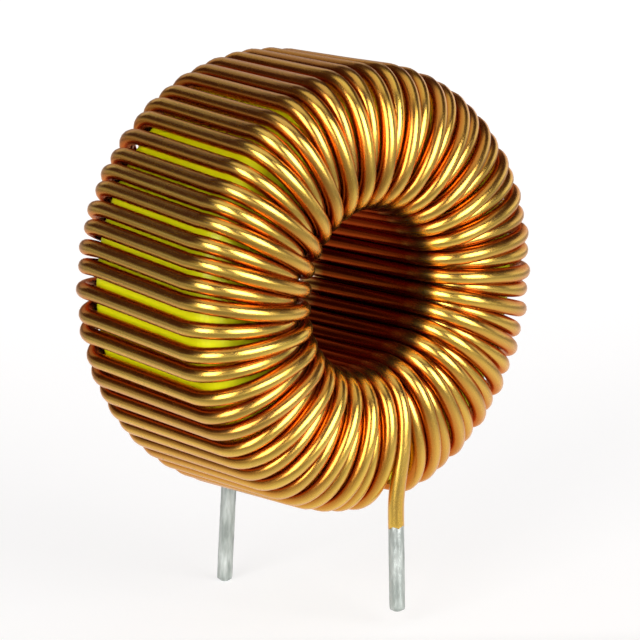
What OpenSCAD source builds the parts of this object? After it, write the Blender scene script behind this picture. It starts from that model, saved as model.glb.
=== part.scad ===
// Differential mode choke: a coated powder core ring wound with one enamelled copper wire,
// whose two ends are stripped and tinned as leads for a circuit board.
// The ring stands on its edge: its axis is Y, the front face looks towards -Y, and the board
// that it sits on is the plane z = 0, with the origin midway between the leads.

/* [Core] */
// Outer diameter of the coated core
core_od = 26.6; // [24:0.1:36]
// Inner diameter of the coated core
core_id = 14.3; // [12:0.1:17]
// Height of the coated core along its axis
core_h = 12; // [7:0.1:20]
// Radius of the core's four edges
core_edge_r = 1.5; // [0.6:0.1:2]

/* [Wire] */
// Diameter of the wire over its enamel
wire_d = 1; // [0.7:0.05:1.2]
// Clearance between the wire and the core
core_gap = 0.15; // [0.13:0.01:0.3]
// Least clearance between two turns
turn_gap = 0.08; // [0.06:0.01:0.12]
// How far the turns arch up off the core's flat faces
face_spring = 0.72; // [0.6:0.02:1.2]
// How far an outer run steps round the core between its front and its back
outer_step = 0.85; // [0:0.05:1]

/* [Layout of the turns] */
// Angle left open between the first and the last turn
open_angle = 11; // [10:1:40]
// Place of that opening round the core, 270 being straight down
open_place = 274; // [268:1:276]
// Turn of the inner runs against the outer ones
hole_shift = 3; // [0:1:5]

/* [Leads] */
// Sideways place of each lead from the middle of the part
lead_x = 0.5; // [0.2:0.1:1]
// Length of the front lead below the board's face
front_lead_len = 6.4; // [4:0.1:15]
// Enamel left on the front lead below the board's face
front_enamel_len = 0.8; // [0.2:0.1:2]
// Length of the rear lead below the board's face
rear_lead_len = 7.5; // [4:0.1:15]
// Height above the board's face at which the rear lead's tin starts
rear_tin_rise = 0.3; // [0.1:0.1:1]
// Outward lean of the rear lead, in degrees
rear_lean = 6; // [0:1:12]
// Thickness of the tin on the bare ends
tin_t = 0.02; // [0.01:0.01:0.1]
// Rounding of the tinned tips
tip_round = 0.25; // [0.1:0.05:0.4]

/* [Hidden] */

$fn = 96;

// Sideways unevenness of the outer runs, laid by hand, in sixths of the room between two of them:
// the side with the widest gaps, and a pattern that repeats round the rest
uneven_side = [5, 3, 4, 4, -3, -1, -7, -12, -9, -8, -5, -5, -1, 3, 1, -2];
uneven_side_start = 9;
uneven_rest = [-3, -1, 1, 0, 2, 1, -1, 0, 1];
uneven_unit = 1 / 6;

// Sides of the wire's section, and points on each corner arc of the core
wire_sides = 6;
edge_steps = 8;

// Places of the points on a turn's arch over a face, as angles: 0 in the hole, 90 at the crown
arch_in = [0, 25, 55, 90];
arch_out = [117, 152, 180];
// Where the crown lies between the inner run and the outer run, for lower and for upper turns
lower_crown = 0.48;
upper_crown = 0.38;
// How high an upper turn's crown stands over a lower one's, as a share of its rise in the hole
crown_lift_share = 0.62;

// Radii and heights of the wire's axis
wire_r = wire_d / 2;
run_out_r = core_od / 2 + core_gap + wire_r;
run_in_r = core_id / 2 - core_gap - wire_r;
arch_y = core_h / 2 - core_edge_r;
crown_y = core_h / 2 + core_gap + wire_r + face_spring;
centre_z = run_out_r + wire_r;

// An upper turn nests between two lower ones
turn_room = wire_d + turn_gap;
nest = turn_room * sin(60);
crown_lift = crown_lift_share * nest;

// Number of passes through the hole, from the angle that each upper turn needs there
least_step = asin(turn_room / (2 * (run_in_r - nest)));
sweep = 360 - open_angle;
last_turn = 2 * floor(sweep / (2 * least_step));
pitch = sweep / last_turn;

// Room between two outer runs at their mean pitch, as an angle
spare_angle = pitch - turn_room / run_out_r * 180 / PI;
slant = outer_step / run_out_r * 180 / PI;
first_angle = open_place - open_angle / 2;

// Leads
lead_y = crown_y + crown_lift / 2;
front_lead_angle = asin(lead_x / run_out_r) - 90;
tinned_r = wire_r + tin_t;

// Every second turn rides up on its two neighbours inside the hole
function rides_up(k) = k % 2 == 0;
function inner_r(k) = run_in_r - (rides_up(k) ? nest : 0);
function crown_r(k) = mix(run_in_r, run_out_r, rides_up(k) ? upper_crown : lower_crown);
function arch_h(k) = crown_y - arch_y + (rides_up(k) ? crown_lift : 0);

// Angles of the inner runs, of the outer runs at their middles, and of the outer runs' unevenness
function inner_angle(k) = first_angle + hole_shift - k * pitch;
function outer_angle(k) = first_angle - (k + 0.5) * pitch;
function uneven(k) =
    let (i = k - uneven_side_start)
    let (on_side = i >= 0 && i < len(uneven_side))
    spare_angle * uneven_unit * (on_side ? uneven_side[i] : uneven_rest[k % len(uneven_rest)]);

// A point of the wire's axis, from its distance and angle round the core's axis and its place along it
function on_ring(r, angle, y) = [r * cos(angle), y, centre_z + r * sin(angle)];
function mix(a, b, share) = a + (b - a) * share;

// Share of a turn's way round the core that it has made at a radius, as a taut wire lies
function lay_share(k, r) =
    let (inwards = (run_out_r - r) / (run_out_r - inner_r(k)))
    let (level_r = r + (run_in_r - inner_r(k)) * pow(inwards, 2))
    (1 - run_in_r / level_r) / (1 - run_in_r / run_out_r);

// A point of the arch of pass k over the face on a side, -1 (front) or 1 (back), towards an outer angle
function arch(k, t, side, outer, offset = 0) =
    let (edge_r = t < 90 ? inner_r(k) : run_out_r)
    let (r = mix(crown_r(k), edge_r, abs(cos(t))))
    let (share = lay_share(k, r))
    let (angle = mix(inner_angle(k), outer, share) + offset * pow(share, 3))
    on_ring(r, angle, side * (arch_y + arch_h(k) * sin(t)));

// One turn: over the front face from the hole, along the outside, and back over the rear face
function turn(k) =
    let (front = outer_angle(k) + slant / 2)
    let (back = outer_angle(k) - slant / 2)
    let (steps = concat(arch_in, arch_out))
    let (last = len(steps) - 1)
    concat(
        [for (t = steps) arch(k, t, -1, front, uneven(k))],
        [for (i = [last : -1 : 0]) arch(k + 1, steps[i], 1, back, uneven(k))]
    );

// A point on the straight axis of each lead, at a distance below the board's face
function front_lead(below) = [lead_x, -lead_y, -below];
function rear_lead(below) =
    [-lead_x, lead_y + below * sin(rear_lean), -below * cos(rear_lean)];

// The whole axis of the wire, from the rear lead's tin to the front lead's
wire_path = concat(
    [rear_lead(-rear_tin_rise), rear_lead(-rear_tin_rise - wire_d)],
    [for (i = [len(arch_in) - 1 : -1 : 0]) arch(0, arch_in[i], 1, inner_angle(0))],
    [for (k = [0 : last_turn - 1]) each turn(k)],
    [for (t = arch_in) arch(last_turn, t, -1, front_lead_angle)],
    [front_lead(-wire_d), front_lead(front_enamel_len)]
);

function unit(v) = v / norm(v);

// Direction of the path at a point, along both of its neighbours
function heading(path, i) =
    let (last = len(path) - 1)
    let (before = i > 0 ? unit(path[i] - path[i - 1]) : [0, 0, 0])
    let (after = i < last ? unit(path[i + 1] - path[i]) : [0, 0, 0])
    unit(before + after);

// Corners of the wire's section at a point of the path, with flats towards the neighbouring turns
function section(path, i) =
    let (along = heading(path, i))
    let (round_core = unit([path[i].z - centre_z, 0, -path[i].x]))
    let (across = unit(round_core - (round_core * along) * along))
    let (up = cross(along, across))
    [for (s = [0 : wire_sides - 1])
        let (a = 360 * (s + 0.5) / wire_sides)
        path[i] + wire_r * (cos(a) * across + sin(a) * up)];

// A closed tube along a path, with flat ends
module tube(path) {
    n = wire_sides;
    last = len(path) - 1;
    points = [for (i = [0 : last]) each section(path, i)];
    sides = [
        for (i = [0 : last - 1])
            for (s = [0 : n - 1])
                let (a = i * n + s)
                let (b = i * n + (s + 1) % n)
                each [[a, a + n, b], [b, a + n, b + n]]
    ];
    ends = [[for (s = [0 : n - 1]) s], [for (s = [0 : n - 1]) last * n + n - 1 - s]];
    polyhedron(points = points, faces = concat(sides, ends), convexity = 20);
}

// Quarter of a circle about a centre, as the rounding of a corner that starts at an angle
function corner(centre, r, start, steps) =
    [for (i = [0 : steps]) let (a = start + 90 * i / steps) centre + r * [cos(a), sin(a)]];

module core() {
    inner = core_id / 2 + core_edge_r;
    outer = core_od / 2 - core_edge_r;
    edge = core_h / 2 - core_edge_r;
    outline = concat(
        corner([outer, edge], core_edge_r, 0, edge_steps),
        corner([inner, edge], core_edge_r, 90, edge_steps),
        corner([inner, -edge], core_edge_r, 180, edge_steps),
        corner([outer, -edge], core_edge_r, 270, edge_steps)
    );
    color("yellow")
        translate([0, 0, centre_z])
            rotate([90, 0, 0])
                rotate_extrude()
                    polygon(outline);
}

module winding() {
    color("peru") tube(wire_path);
}

// A stripped and tinned wire end that hangs down from the origin, with a rounded tip
module tinned_end(length) {
    tip = corner([tinned_r - tip_round, tip_round - length], tip_round, 270, edge_steps);
    rotate_extrude()
        polygon(concat([[0, -length]], tip, [[tinned_r, 0], [0, 0]]));
}

module front_tinned_end() {
    color("silver")
        translate(front_lead(front_enamel_len))
            tinned_end(front_lead_len - front_enamel_len);
}

module rear_tinned_end() {
    color("silver")
        translate(rear_lead(-rear_tin_rise))
            rotate([rear_lean, 0, 0])
                tinned_end(rear_lead_len + rear_tin_rise);
}

core();
winding();
front_tinned_end();
rear_tinned_end();
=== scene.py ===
import math

import bpy
from mathutils import Matrix, Vector, noise


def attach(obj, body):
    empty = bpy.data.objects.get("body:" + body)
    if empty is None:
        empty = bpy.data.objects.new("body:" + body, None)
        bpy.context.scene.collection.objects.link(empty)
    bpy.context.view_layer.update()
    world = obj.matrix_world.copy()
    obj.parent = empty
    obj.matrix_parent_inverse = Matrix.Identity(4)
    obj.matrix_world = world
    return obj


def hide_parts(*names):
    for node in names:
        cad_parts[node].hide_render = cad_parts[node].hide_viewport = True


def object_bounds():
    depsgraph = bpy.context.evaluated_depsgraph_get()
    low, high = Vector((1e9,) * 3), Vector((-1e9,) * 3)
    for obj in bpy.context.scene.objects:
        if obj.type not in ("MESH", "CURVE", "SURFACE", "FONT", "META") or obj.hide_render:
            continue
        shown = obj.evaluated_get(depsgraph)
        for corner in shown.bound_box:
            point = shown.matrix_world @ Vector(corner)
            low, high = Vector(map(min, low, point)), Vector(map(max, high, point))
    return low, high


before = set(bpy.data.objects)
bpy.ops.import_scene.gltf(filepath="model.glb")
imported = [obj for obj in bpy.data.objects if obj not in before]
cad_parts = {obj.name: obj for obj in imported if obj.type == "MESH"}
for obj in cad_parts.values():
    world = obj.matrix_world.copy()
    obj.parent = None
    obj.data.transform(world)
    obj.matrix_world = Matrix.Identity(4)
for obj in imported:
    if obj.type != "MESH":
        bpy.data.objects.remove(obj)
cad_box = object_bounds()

MM = 0.001

# Sizes of the wound ring, in millimetres and degrees, as the solids have them
CORE_OD = 26.6
CORE_ID = 14.3
CORE_H = 12.0
CORE_EDGE_R = 1.5
WIRE_D = 1.0
CORE_GAP = 0.15
TURN_GAP = 0.08
FACE_SPRING = 0.72
LOWER_CROWN = 0.48
UPPER_CROWN = 0.38
OUTER_STEP = 0.85
OPEN_ANGLE = 11.0
OPEN_PLACE = 274.0
HOLE_SHIFT = 3.0
UNEVEN_UNIT = 1 / 6
UNEVEN_SIDE = (5, 3, 4, 4, -3, -1, -7, -12, -9, -8, -5, -5, -1, 3, 1, -2)
UNEVEN_SIDE_START = 9
UNEVEN_REST = (-3, -1, 1, 0, 2, 1, -1, 0, 1)

# Sizes of the leads, in millimetres and degrees, as the solids have them
LEAD_X = 0.5
LEAD_Y = 7.66
FRONT_LEAD_LEN = 6.4
FRONT_ENAMEL_LEN = 0.8
REAR_LEAD_LEN = 7.5
REAR_TIN_RISE = 0.3
REAR_LEAN = 6.0
TIN_T = 0.02
TIP_ROUND = 0.25

# Where the smooth wire differs from the solids: lower crowns of the upper turns, squarer bends,
# a coat of enamel, a lay that wanders, and curves from the crowns to the leads. Without its seed,
# the lay would change from run to run
CROWN_LIFT_SHARE = 0.55
INNER_BEND_POWER = 0.84
OUTER_BEND_POWER = 0.96
ENAMEL_T = 0.02
WANDER = 0.03
WANDER_SCALE = 0.25
WANDER_SHIFT = 7
WANDER_SEED = 1
LEAD_OUT_REACH = 0.4

# Unevenness of the leads: the ragged ends of the enamel, the tin under them, and the tin's lumps
RAGGED = 0.25
RAGGED_SCALE = 2.1
UNDER_ENAMEL = 0.3
LUMPS = 0.03
LUMP_SCALE_ROUND = 1.2
LUMP_SCALE_ALONG = 1.1

# How finely the wire and the tin are cut
WIRE_SIDES = 16
INNER_BEND_CUTS = 10
OUTER_BEND_CUTS = 13
RUN_CUTS = 5
LEAD_OUT_CUTS = 12
TIN_SIDES = 28
TIN_CUTS = 44

# Places on the wire's axis, worked out from the sizes
WIRE_R = WIRE_D / 2
RUN_OUT_R = CORE_OD / 2 + CORE_GAP + WIRE_R
RUN_IN_R = CORE_ID / 2 - CORE_GAP - WIRE_R
ARCH_Y = CORE_H / 2 - CORE_EDGE_R
CROWN_Y = CORE_H / 2 + CORE_GAP + WIRE_R + FACE_SPRING
CENTRE_Z = RUN_OUT_R + WIRE_R
TURN_ROOM = WIRE_D + TURN_GAP
NEST = TURN_ROOM * math.sin(math.radians(60))
CROWN_LIFT = CROWN_LIFT_SHARE * NEST
SWEEP = 360 - OPEN_ANGLE
LEAST_STEP = math.degrees(math.asin(TURN_ROOM / (2 * (RUN_IN_R - NEST))))
LAST_TURN = 2 * math.floor(SWEEP / (2 * LEAST_STEP))
PITCH = SWEEP / LAST_TURN
SPARE_ANGLE = PITCH - math.degrees(TURN_ROOM / RUN_OUT_R)
SLANT = math.degrees(OUTER_STEP / RUN_OUT_R)
FIRST_ANGLE = OPEN_PLACE - OPEN_ANGLE / 2
FRONT_LEAD_ANGLE = math.degrees(math.asin(LEAD_X / RUN_OUT_R)) - 90

# Copper: tones along the wire, worn patches, roughness, and the tint of its reflection at the edges
COPPER_TONES = (
    (0.25, (0.63, 0.40, 0.02)),
    (0.55, (0.80, 0.59, 0.04)),
    (0.8, (0.90, 0.73, 0.09)),
)
COPPER_FINENESS = 14.0
COPPER_MOTTLE = 900.0
WORN_COPPER = (0.62, 0.30, 0.015)
WORN_PATCHES = (0.45, 0.75)
WORN_SHARE = 0.35
COPPER_ROUGHNESS = (0.22, 0.30)
COPPER_EDGE_TINT = (0.95, 0.52, 0.22)
COPPER_BUMP = (0.08, 0.00003)

# Enamel over the copper, as a coat that counts less where shade is painted, so those places reflect
# less
ENAMEL_WEIGHT = (1.0, 0.05)
ENAMEL_ROUGHNESS = 0.28
ENAMEL_IOR = 1.72
ENAMEL_TINT = (1.0, 0.85, 0.6)

# Painted shade on the wire, deep red, with places in millimetres: on the sides that face other
# turns, by distance along the wire from each end, and in the hole, by radius and by depth
PAINTED_SIDE_SHADE = (0.50, 0.075, 0.003)
SIDE_SHARE = 0.85
SIDE_START = 0.25
LEAD_PART = (4.0, 8.0)
PAINTED_HOLE_SHADE = (0.24, 0.012, 0.001)
HOLE_SHARE = 0.95
HOLE_PART = (7.4, 6.0)
HOLE_DEPTH = (4.0, 6.5)

# Tin: streaks along the wire and dull patches
TIN_STREAKS = (
    (0.3, (0.26, 0.29, 0.27)),
    (0.5, (0.50, 0.54, 0.51)),
    (0.7, (0.74, 0.78, 0.75)),
)
TIN_FINENESS = 9.0
TIN_MOTTLE = 2500.0
DULL_TIN = (0.37, 0.41, 0.375)
DULL_PATCHES = (0.4, 0.7)
DULL_SHARE = 0.5
TIN_METALLIC = 0.85
TIN_ROUGHNESS = (0.32, 0.5)
TIN_BUMP = (0.25, 0.00005)

# Coating of the core
CORE_TONES = ((0.3, (0.78, 0.82, 0.0)), (0.7, (0.86, 0.89, 0.005)))
CORE_MOTTLE = 1800.0
CORE_ROUGHNESS = (0.35, 0.5)
CORE_BUMP = (0.3, 0.00004)

# Textures: the part of a noise's values that is used, the scales of lines and of slow changes of
# tone along and round a wire, and the scale of patches as a share of the grain's
NOISE_SPAN = (0.3, 0.7)
LINE_SCALE = (60.0, 1.0, 1.0)
TONE_SCALE = (45.0, 0.6, 1.0)
PATCH_SHARE = 0.12

# Floor, in metres. How white it looks by itself: levels from near to far behind the part, in a
# strip that fades at its sides and widens with the distance, and a level all round far from it
FLOOR_HALF = 20.0
FLOOR_COLOUR = (0.30, 0.30, 0.30)
FLOOR_ROUGHNESS = 0.9
FLOOR_SPECULAR = 0.1
FLOOR_DEPTH = (-0.05, 0.60)
FLOOR_LEVELS = ((0.0, 0.0), (0.03, 0.1), (0.065, 0.73), (0.24, 0.84), (0.55, 0.94), (1.0, 0.98))
FLOOR_SIDE = (0.022, 0.085)
FLOOR_SPREAD = 0.12
FLOOR_RING = (0.05, 0.28)
FLOOR_RING_LEVEL = 0.33

# Camera: angles in degrees, distance and sensor in millimetres, clipping in metres, and the
# photograph's focal length, size and place of the ring's centre in pixels
CAMERA_AZIMUTH = -41.08
CAMERA_ELEVATION = 11.79
CAMERA_ROLL = -1.15
CAMERA_DISTANCE = 249.96
SENSOR_WIDTH = 36.0
CAMERA_CLIP = (0.01, 20.0)
FOCAL_PIXELS = 3871.4
PHOTO_SIZE = 640
RING_CENTRE_PIXEL = (306.55, 277.54)

# Colours of the surroundings by height over the horizon
WORLD_COLOURS = ((0.04, (0.33, 0.33, 0.33)), (0.16, (0.05, 0.015, 0.01)))

# Lamps: azimuth and elevation in degrees, distance and size in metres, and level, 1 being white
LAMPS = (
    ("left_lamp", -67, 15, 0.45, (0.22, 0.30), 8.8),
    ("front_lamp", 3, 15, 0.45, (0.30, 0.28), 8.2),
    ("ceiling_panel", -20, 78, 0.60, (0.70, 0.50), 0.8),
    ("back_panel", 158, 27, 0.60, (0.62, 0.32), 0.48),
    ("right_panel", 92, 12, 0.50, (0.65, 0.22), 0.8),
)


# Axis of the wire

def mix(a, b, share):
    return a + (b - a) * share


def rides_up(k):
    """True for every second turn, which lies on its two neighbours inside the hole."""
    return k % 2 == 0


def inner_r(k):
    return RUN_IN_R - (NEST if rides_up(k) else 0.0)


def crown_r(k):
    return mix(RUN_IN_R, RUN_OUT_R, UPPER_CROWN if rides_up(k) else LOWER_CROWN)


def arch_h(k):
    return CROWN_Y - ARCH_Y + (CROWN_LIFT if rides_up(k) else 0.0)


def inner_angle(k):
    return FIRST_ANGLE + HOLE_SHIFT - k * PITCH


def outer_angle(k):
    """Angle of an outer run at its middle, before its unevenness."""
    return FIRST_ANGLE - (k + 0.5) * PITCH


def uneven(k):
    """Listed unevenness of an outer run, as an angle."""
    i = k - UNEVEN_SIDE_START
    on_side = 0 <= i < len(UNEVEN_SIDE)
    steps = UNEVEN_SIDE[i] if on_side else UNEVEN_REST[k % len(UNEVEN_REST)]
    return SPARE_ANGLE * UNEVEN_UNIT * steps


def on_ring(r, angle, y):
    a = math.radians(angle)
    return Vector((r * math.cos(a), y, CENTRE_Z + r * math.sin(a)))


def lay_share(k, r):
    """Share of a turn's way round the core that it has made at a radius, as a taut wire lies."""
    inwards = (RUN_OUT_R - r) / (RUN_OUT_R - inner_r(k))
    level_r = r + (RUN_IN_R - inner_r(k)) * inwards ** 2
    return (1 - RUN_IN_R / level_r) / (1 - RUN_IN_R / RUN_OUT_R)


def arch(k, side, outer, offset=0.0):
    """Points of pass k over the face on a side, -1 (front) or 1 (back), from the hole outwards."""
    angles = [90 * i / INNER_BEND_CUTS for i in range(INNER_BEND_CUTS)]
    angles += [90 + 90 * i / OUTER_BEND_CUTS for i in range(OUTER_BEND_CUTS + 1)]
    points = []
    for t in map(math.radians, angles):
        inside = t < math.pi / 2
        edge_r = inner_r(k) if inside else RUN_OUT_R
        power = INNER_BEND_POWER if inside else OUTER_BEND_POWER
        r = mix(crown_r(k), edge_r, abs(math.cos(t)) ** power)
        share = lay_share(k, r)
        angle = mix(inner_angle(k), outer, share) + offset * share ** 3
        p = on_ring(r, angle, side * (ARCH_Y + arch_h(k) * max(0.0, math.sin(t)) ** power))
        spot = p * WANDER_SCALE + Vector((WANDER_SHIFT * k, 0, 0))
        points.append(p + noise.noise_vector(spot) * WANDER * math.sin(t))
    return points


def straight(a, b, cuts):
    """Points strictly between two points of a straight run."""
    return [a.lerp(b, i / cuts) for i in range(1, cuts)]


def rear_lead(below):
    """A point on the rear lead's axis, at a distance below the board's face."""
    lean = math.radians(REAR_LEAN)
    return Vector((-LEAD_X, LEAD_Y + below * math.sin(lean), -below * math.cos(lean)))


def front_lead(below):
    """A point on the front lead's axis, at a distance below the board's face."""
    return Vector((LEAD_X, -LEAD_Y, -below))


def lead_out(crossing, top, down):
    """Points of a crossing up to its crown, and from there in a curve to a lead's top."""
    crown = crossing[INNER_BEND_CUTS]
    reach = (crown - top).length * LEAD_OUT_REACH
    near_crown = crown + (crown - crossing[INNER_BEND_CUTS - 1]).normalized() * reach
    near_top = top - down * reach
    curve = []
    for i in range(1, LEAD_OUT_CUTS):
        s = i / LEAD_OUT_CUTS
        q = 1 - s
        point = crown * q ** 3 + near_crown * 3 * q * q * s
        curve.append(point + near_top * 3 * q * s * s + top * s ** 3)
    return crossing[:INNER_BEND_CUTS + 1] + curve + [top]


def wire_axis():
    """The whole axis of the wire, from the rear lead's tin to the front lead's."""
    rear_top = rear_lead(-REAR_TIN_RISE)
    front_top = front_lead(0)
    front_end = front_lead(FRONT_ENAMEL_LEN)
    start = lead_out(arch(0, 1, inner_angle(0)), rear_top, rear_lead(1) - rear_lead(0))
    end = lead_out(arch(LAST_TURN, -1, FRONT_LEAD_ANGLE), front_top, front_lead(1) - front_top)
    path = start[::-1]
    for k in range(LAST_TURN):
        outward = arch(k, -1, outer_angle(k) + SLANT / 2, uneven(k))
        inward = arch(k + 1, 1, outer_angle(k) - SLANT / 2, uneven(k))[::-1]
        path += straight(path[-1], outward[0], RUN_CUTS) + outward
        path += straight(outward[-1], inward[0], RUN_CUTS) + inward
    path += straight(path[-1], end[0], RUN_CUTS) + end
    return path + straight(front_top, front_end, RUN_CUTS) + [front_end]


def path_lengths(path):
    """Distances along a path to each of its points."""
    lengths = [0.0]
    for a, b in zip(path, path[1:]):
        lengths.append(lengths[-1] + (b - a).length)
    return lengths


# Meshes

def sections(path, radius, sides):
    """Rings of a round tube along a path, with one side of each ring facing round the core."""
    rings = []
    for i, p in enumerate(path):
        before = (p - path[i - 1]).normalized() if i else Vector()
        after = (path[i + 1] - p).normalized() if i + 1 < len(path) else Vector()
        along = (before + after).normalized()
        round_core = Vector((p.z - CENTRE_Z, 0, -p.x)).normalized()
        across = (round_core - along * round_core.dot(along)).normalized()
        up = along.cross(across)
        ring = []
        for s in range(sides):
            a = 2 * math.pi * s / sides
            ring.append(p + (across * math.cos(a) + up * math.sin(a)) * radius)
        rings.append(ring)
    return rings


def tube_mesh(name, rings, lengths):
    """A closed mesh over rings of points in millimetres, with lengthwise and round coordinates."""
    sides = len(rings[0])
    verts = [v * MM for ring in rings for v in ring]
    faces = []
    for i in range(len(rings) - 1):
        for s in range(sides):
            a = i * sides + s
            b = i * sides + (s + 1) % sides
            faces.append((a, b, b + sides, a + sides))
    faces.append(tuple(range(sides))[::-1])
    faces.append(tuple(range((len(rings) - 1) * sides, len(rings) * sides)))
    mesh = bpy.data.meshes.new(name)
    mesh.from_pydata(verts, [], faces)
    uv = mesh.uv_layers.new(name="along_wire")
    for face in mesh.polygons:
        seam = any(mesh.loops[i].vertex_index % sides == sides - 1 for i in face.loop_indices)
        for i in face.loop_indices:
            ring, side = divmod(mesh.loops[i].vertex_index, sides)
            turn = 1.0 if seam and side == 0 else side / sides
            uv.data[i].uv = (lengths[ring] * MM, turn)
    mesh.polygons.foreach_set("use_smooth", [True] * len(mesh.polygons))
    mesh.validate()
    mesh.update()
    piece = bpy.data.objects.new(name, mesh)
    bpy.context.scene.collection.objects.link(piece)
    return piece


# Materials

class Nodes:
    """Places nodes in a tree and links them, for shorter material code."""

    def __init__(self, tree):
        self.tree = tree

    def add(self, kind, **values):
        made = self.tree.nodes.new(kind)
        for key, value in values.items():
            setattr(made, key, value)
        return made

    def link(self, a, b):
        self.tree.links.new(a, b)

    def put(self, socket, value):
        """Sets a socket to a value, or links it to another socket."""
        if isinstance(value, bpy.types.NodeSocket):
            self.link(value, socket)
        else:
            socket.default_value = value

    def put_colour(self, socket, value):
        """Sets a colour socket to red, green and blue, or links it to another socket."""
        self.put(socket, value if isinstance(value, bpy.types.NodeSocket) else (*value, 1.0))

    def group(self, tree, **values):
        """Outputs of a node group whose inputs are set or linked by name."""
        made = self.add("ShaderNodeGroup", node_tree=tree)
        for label, value in values.items():
            self.put(made.inputs[label], value)
        return made.outputs

    def noise(self, vector, scale, detail, roughness=0.5):
        made = self.add("ShaderNodeTexNoise")
        self.put(made.inputs["Vector"], vector)
        self.put(made.inputs["Scale"], scale)
        made.inputs["Detail"].default_value = detail
        made.inputs["Roughness"].default_value = roughness
        return made.outputs["Fac"]

    def ramp(self, fac, stops):
        """A colour ramp from (place, colour) stops."""
        made = self.add("ShaderNodeValToRGB")
        elements = made.color_ramp.elements
        while len(elements) < len(stops):
            elements.new(0.5)
        for element, (place, colour) in zip(elements, stops):
            element.position = place
            element.color = (*colour, 1.0)
        self.put(made.inputs["Fac"], fac)
        return made.outputs["Color"]

    def range(self, value, span, to):
        """A value's place in a span, carried over to another span and held inside it."""
        made = self.add("ShaderNodeMapRange")
        self.put(made.inputs["Value"], value)
        labels = ("From Min", "From Max", "To Min", "To Max")
        for label, limit in zip(labels, (*span, *to)):
            made.inputs[label].default_value = limit
        return made.outputs["Result"]

    def math(self, operation, a, b=0.0):
        made = self.add("ShaderNodeMath", operation=operation)
        self.put(made.inputs[0], a)
        self.put(made.inputs[1], b)
        return made.outputs[0]

    def split(self, vector):
        """The X, Y and Z outputs of a vector."""
        made = self.add("ShaderNodeSeparateXYZ")
        self.link(vector, made.inputs[0])
        return made.outputs

    def scaled(self, vector, factors):
        made = self.add("ShaderNodeVectorMath", operation="MULTIPLY")
        self.link(vector, made.inputs[0])
        made.inputs[1].default_value = factors
        return made.outputs[0]

    def dot(self, vector, direction):
        made = self.add("ShaderNodeVectorMath", operation="DOT_PRODUCT")
        self.link(vector, made.inputs[0])
        made.inputs[1].default_value = direction
        return made.outputs["Value"]

    def length(self, vector):
        made = self.add("ShaderNodeVectorMath", operation="LENGTH")
        self.link(vector, made.inputs[0])
        return made.outputs["Value"]

    def mix_colour(self, fac, a, b):
        made = self.add("ShaderNodeMix", data_type="RGBA")
        self.put(made.inputs["Factor"], fac)
        self.put_colour(made.inputs["A"], a)
        self.put_colour(made.inputs["B"], b)
        return made.outputs["Result"]

    def bump(self, height, strength, distance):
        made = self.add("ShaderNodeBump")
        self.put(made.inputs["Height"], height)
        made.inputs["Strength"].default_value = strength
        made.inputs["Distance"].default_value = distance
        return made.outputs["Normal"]


def new_group(name, inputs, outputs):
    """An empty shader node group with named inputs and named value outputs."""
    group = bpy.data.node_groups.new(name, "ShaderNodeTree")
    for label, kind in inputs:
        group.interface.new_socket(name=label, in_out="INPUT", socket_type=kind)
    for label in outputs:
        group.interface.new_socket(name=label, in_out="OUTPUT", socket_type="NodeSocketFloat")
    nodes = Nodes(group)
    given = nodes.add("NodeGroupInput").outputs
    out = nodes.add("NodeGroupOutput").inputs
    return group, nodes, given, out


def drawn_lines_group():
    """Fine lines along a wire, as drawing, winding and handling leave them."""
    group, n, given, out = new_group(
        "drawn_lines",
        [("Along", "NodeSocketVector"), ("Fineness", "NodeSocketFloat")],
        ["Lines", "Tone"],
    )
    lines = n.noise(n.scaled(given["Along"], LINE_SCALE), given["Fineness"], detail=3.0)
    tone = n.noise(n.scaled(given["Along"], TONE_SCALE), 1.0, detail=2.0)
    n.link(lines, out["Lines"])
    n.link(tone, out["Tone"])
    return group


def speckle_group():
    """Fine mottling of a cast, dipped or sprayed surface."""
    group, n, given, out = new_group(
        "speckle",
        [("Place", "NodeSocketVector"), ("Size", "NodeSocketFloat")],
        ["Grain", "Patches"],
    )
    coarse = n.math("MULTIPLY", given["Size"], PATCH_SHARE)
    n.link(n.noise(given["Place"], given["Size"], detail=5.0, roughness=0.6), out["Grain"])
    n.link(n.noise(given["Place"], coarse, detail=3.0), out["Patches"])
    return group


def new_material(name):
    """A material, its nodes, and the inputs of its shader."""
    material = bpy.data.materials.new(name)
    material.use_nodes = True
    shader = material.node_tree.nodes["Principled BSDF"].inputs
    return material, Nodes(material.node_tree), shader


def along_wire(n):
    return n.add("ShaderNodeUVMap", uv_map="along_wire").outputs["UV"]


def object_place(n):
    return n.add("ShaderNodeTexCoord").outputs["Object"]


def painted_shade_masks(n, wire_length):
    """Masks of painted shade: the sides that face other turns, and inside the hole."""
    wire = n.split(along_wire(n))
    sideways = n.math("COSINE", n.math("MULTIPLY", wire["Y"], 2 * math.pi))
    sides = n.range(n.math("ABSOLUTE", sideways), (SIDE_START, 1.0), (0.0, SIDE_SHARE))
    from_end = n.math("PINGPONG", wire["X"], wire_length / 2)
    wound = n.range(from_end, [d * MM for d in LEAD_PART], (0.0, 1.0))
    place = n.split(object_place(n))
    above = n.math("SUBTRACT", place["Z"], CENTRE_Z * MM)
    squares = n.math("ADD", n.math("POWER", above, 2.0), n.math("POWER", place["X"], 2.0))
    radius = n.math("SQRT", squares)
    inside = n.range(radius, [r * MM for r in HOLE_PART], (0.0, HOLE_SHARE))
    depth = n.math("ABSOLUTE", place["Y"])
    deep = n.range(depth, [y * MM for y in HOLE_DEPTH], (1.0, 0.0))
    return n.math("MULTIPLY", sides, wound), n.math("MULTIPLY", inside, deep)


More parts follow.
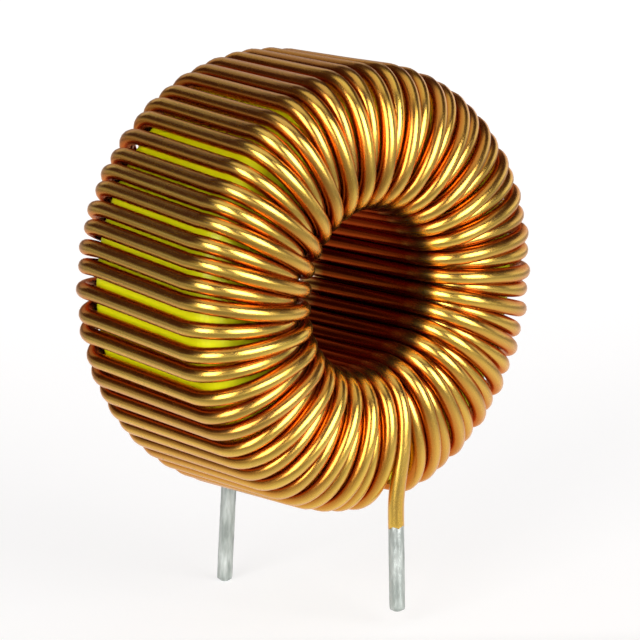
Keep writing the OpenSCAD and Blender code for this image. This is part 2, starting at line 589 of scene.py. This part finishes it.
def enamelled_copper(lines_group, speckle, wire_length):
    """Bright copper under clear amber enamel."""
    material, n, shader = new_material("enamelled_copper")
    lines = n.group(lines_group, Along=along_wire(n), Fineness=COPPER_FINENESS)
    mottle = n.group(speckle, Place=object_place(n), Size=COPPER_MOTTLE)
    worn = n.range(mottle["Patches"], WORN_PATCHES, (0.0, WORN_SHARE))
    sides, inside = painted_shade_masks(n, wire_length)
    tone = n.mix_colour(worn, n.ramp(lines["Tone"], COPPER_TONES), WORN_COPPER)
    # Painted shade: deep red on the sides of the wire that face other turns, where the turns shade
    # each other
    tone = n.mix_colour(sides, tone, PAINTED_SIDE_SHADE)
    # Painted shade inside the hole: a darker red, strongest at small radius and mid depth
    tone = n.mix_colour(inside, tone, PAINTED_HOLE_SHADE)
    n.put_colour(shader["Base Color"], tone)
    n.put(shader["Metallic"], 1.0)
    n.put(shader["Roughness"], n.range(lines["Lines"], NOISE_SPAN, COPPER_ROUGHNESS))
    n.put_colour(shader["Specular Tint"], COPPER_EDGE_TINT)
    # The painted shade also lowers the coat, so the sides and the hole reflect less
    shaded = n.math("MAXIMUM", sides, inside)
    n.put(shader["Coat Weight"], n.range(shaded, (0.0, HOLE_SHARE), ENAMEL_WEIGHT))
    n.put(shader["Coat Roughness"], ENAMEL_ROUGHNESS)
    n.put(shader["Coat IOR"], ENAMEL_IOR)
    n.put_colour(shader["Coat Tint"], ENAMEL_TINT)
    n.put(shader["Normal"], n.bump(lines["Lines"], *COPPER_BUMP))
    return material


def tinned_copper(lines_group, speckle):
    """Dull solder dip, streaked along the wire."""
    material, n, shader = new_material("tinned_copper")
    lines = n.group(lines_group, Along=along_wire(n), Fineness=TIN_FINENESS)
    mottle = n.group(speckle, Place=object_place(n), Size=TIN_MOTTLE)
    dull = n.range(mottle["Patches"], DULL_PATCHES, (0.0, DULL_SHARE))
    streaks = n.ramp(lines["Lines"], TIN_STREAKS)
    n.put_colour(shader["Base Color"], n.mix_colour(dull, streaks, DULL_TIN))
    n.put(shader["Metallic"], TIN_METALLIC)
    n.put(shader["Roughness"], n.range(mottle["Grain"], NOISE_SPAN, TIN_ROUGHNESS))
    n.put(shader["Normal"], n.bump(mottle["Grain"], *TIN_BUMP))
    return material


def core_coat(speckle):
    """Bright yellow sprayed coating."""
    material, n, shader = new_material("core_coat")
    mottle = n.group(speckle, Place=object_place(n), Size=CORE_MOTTLE)
    n.put_colour(shader["Base Color"], n.ramp(mottle["Patches"], CORE_TONES))
    n.put(shader["Roughness"], n.range(mottle["Grain"], NOISE_SPAN, CORE_ROUGHNESS))
    n.put(shader["Normal"], n.bump(mottle["Grain"], *CORE_BUMP))
    return material


def studio_floor():
    """Pale floor that whitens behind the part where it is seen, straight or in the metal."""
    material, n, shader = new_material("studio_floor")
    n.put_colour(shader["Base Color"], FLOOR_COLOUR)
    n.put(shader["Roughness"], FLOOR_ROUGHNESS)
    n.put(shader["Specular IOR Level"], FLOOR_SPECULAR)
    path = n.add("ShaderNodeLightPath").outputs
    seen = n.math("MAXIMUM", path["Is Camera Ray"], path["Is Glossy Ray"])
    seen = n.math("MAXIMUM", seen, path["Is Transmission Ray"])
    right, _, back = view_axes(CAMERA_AZIMUTH, 0)
    place = object_place(n)
    depth = n.dot(place, -back)
    share = n.range(depth, FLOOR_DEPTH, (0.0, 1.0))
    white = n.ramp(share, [(spot, (level,) * 3) for spot, level in FLOOR_LEVELS])
    aside = n.math("ABSOLUTE", n.dot(place, right))
    aside = n.math("SUBTRACT", aside, n.math("MULTIPLY", depth, FLOOR_SPREAD))
    white = n.math("MULTIPLY", white, n.range(aside, FLOOR_SIDE, (1.0, 0.0)))
    far = n.range(n.length(place), FLOOR_RING, (0.0, FLOOR_RING_LEVEL))
    white = n.math("MAXIMUM", white, far)
    n.put_colour(shader["Emission Color"], (1.0, 1.0, 1.0))
    n.put(shader["Emission Strength"], n.math("MULTIPLY", seen, white))
    return material


# Pieces

def make_winding(path, material):
    """The enamelled wire, with ragged ends where it meets the tin."""
    rings = sections(path, WIRE_R + ENAMEL_T, WIRE_SIDES)
    for end in (0, -1):
        rings[end] = [
            v + Vector((0, 0, RAGGED * noise.noise(v * RAGGED_SCALE))) for v in rings[end]
        ]
    piece = tube_mesh("wound_wire", rings, path_lengths(path))
    piece.data.materials.append(material)
    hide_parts("winding")
    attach(piece, "root")


def tin_radius(out, along, top, d, length):
    """Radius of the tin at a distance from its top, on the side that faces out."""
    lump = noise.noise(out * LUMP_SCALE_ROUND + along * d * LUMP_SCALE_ALONG + top)
    r = WIRE_R + TIN_T - LUMPS * abs(lump)
    if d < UNDER_ENAMEL:
        r = min(r, WIRE_R)
    from_tip = length - d
    if from_tip < TIP_ROUND:
        inset = TIP_ROUND - from_tip
        r -= TIP_ROUND - math.sqrt(max(0.0, TIP_ROUND ** 2 - inset ** 2))
    return r


def make_tinned_end(name, node, top, tip, material):
    """A solder-dipped wire end that starts under the enamel, a little lumpy, with a rounded tip."""
    along = (tip - top).normalized()
    length = (tip - top).length
    across = Vector((1, 0, 0))
    across = (across - along * across.dot(along)).normalized()
    up = along.cross(across)
    lengths = [i / TIN_CUTS * length for i in range(TIN_CUTS + 1)]
    rings = []
    for d in lengths:
        ring = []
        for side in range(TIN_SIDES):
            a = 2 * math.pi * side / TIN_SIDES
            out = across * math.cos(a) + up * math.sin(a)
            ring.append(top + along * d + out * tin_radius(out, along, top, d, length))
        rings.append(ring)
    piece = tube_mesh(name, rings, lengths)
    piece.data.materials.append(material)
    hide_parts(node)
    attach(piece, "root")


# Stage

def view_axes(azimuth, elevation):
    """Directions to the right, up and back towards the viewer."""
    a, e = math.radians(azimuth), math.radians(elevation)
    back = Vector((math.sin(a) * math.cos(e), -math.cos(a) * math.cos(e), math.sin(e)))
    right = Vector((math.cos(a), math.sin(a), 0))
    return right, back.cross(right), back


def make_camera():
    right, up, back = view_axes(CAMERA_AZIMUTH, CAMERA_ELEVATION)
    roll = math.radians(CAMERA_ROLL)
    rolled_right = right * math.cos(roll) + up * math.sin(roll)
    rolled_up = up * math.cos(roll) - right * math.sin(roll)
    data = bpy.data.cameras.new("camera")
    data.sensor_width = SENSOR_WIDTH
    data.lens = FOCAL_PIXELS / PHOTO_SIZE * SENSOR_WIDTH
    data.shift_x = (PHOTO_SIZE / 2 - RING_CENTRE_PIXEL[0]) / PHOTO_SIZE
    data.shift_y = (RING_CENTRE_PIXEL[1] - PHOTO_SIZE / 2) / PHOTO_SIZE
    data.clip_start, data.clip_end = CAMERA_CLIP
    camera = bpy.data.objects.new("camera", data)
    place = Vector((0, 0, CENTRE_Z)) + back * CAMERA_DISTANCE
    turn = Matrix((rolled_right, rolled_up, back)).transposed().to_4x4()
    camera.matrix_world = Matrix.Translation(place * MM) @ turn
    bpy.context.scene.collection.objects.link(camera)
    bpy.context.scene.camera = camera


def make_world():
    """Dim surroundings over a pale band that goes on from the floor at the horizon."""
    world = bpy.data.worlds.new("studio")
    world.use_nodes = True
    n = Nodes(world.node_tree)
    background = world.node_tree.nodes["Background"].inputs
    direction = n.add("ShaderNodeTexCoord").outputs["Generated"]
    height = n.dot(direction, (0.0, 0.0, 1.0))
    n.put_colour(background["Color"], n.ramp(height, WORLD_COLOURS))
    n.put(background["Strength"], 1.0)
    bpy.context.scene.world = world


def make_lamp(name, azimuth, elevation, distance, size, level):
    """A soft rectangular lamp that looks at the ring; level is how bright it looks."""
    back = view_axes(azimuth, elevation)[2]
    data = bpy.data.lights.new(name, "AREA")
    data.shape = "RECTANGLE"
    data.size, data.size_y = size
    data.energy = level * math.pi * data.size * data.size_y
    lamp = bpy.data.objects.new(name, data)
    lamp.location = Vector((0, 0, CENTRE_Z)) * MM + back * distance
    lamp.rotation_euler = back.to_track_quat("Z", "Y").to_euler()
    bpy.context.scene.collection.objects.link(lamp)


def make_floor(z):
    size = FLOOR_HALF
    corners = [(-size, -size, z), (size, -size, z), (size, size, z), (-size, size, z)]
    mesh = bpy.data.meshes.new("floor")
    mesh.from_pydata(corners, [], [(0, 1, 2, 3)])
    mesh.materials.append(studio_floor())
    floor = bpy.data.objects.new("floor", mesh)
    bpy.context.scene.collection.objects.link(floor)


make_camera()
make_world()
for lamp in LAMPS:
    make_lamp(*lamp)
make_floor(cad_box[0].z)

drawn_lines = drawn_lines_group()
speckle = speckle_group()
noise.seed_set(WANDER_SEED)
axis = wire_axis()
copper = enamelled_copper(drawn_lines, speckle, path_lengths(axis)[-1] * MM)
tin = tinned_copper(drawn_lines, speckle)
make_winding(axis, copper)
make_tinned_end(
    "front_solder_dip", "front_tinned_end",
    front_lead(FRONT_ENAMEL_LEN - UNDER_ENAMEL), front_lead(FRONT_LEAD_LEN), tin,
)
make_tinned_end(
    "rear_solder_dip", "rear_tinned_end",
    rear_lead(-REAR_TIN_RISE - UNDER_ENAMEL), rear_lead(REAR_LEAD_LEN), tin,
)
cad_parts["core"].material_slots[0].material = core_coat(speckle)

bpy.context.scene.view_settings.view_transform = "Standard"
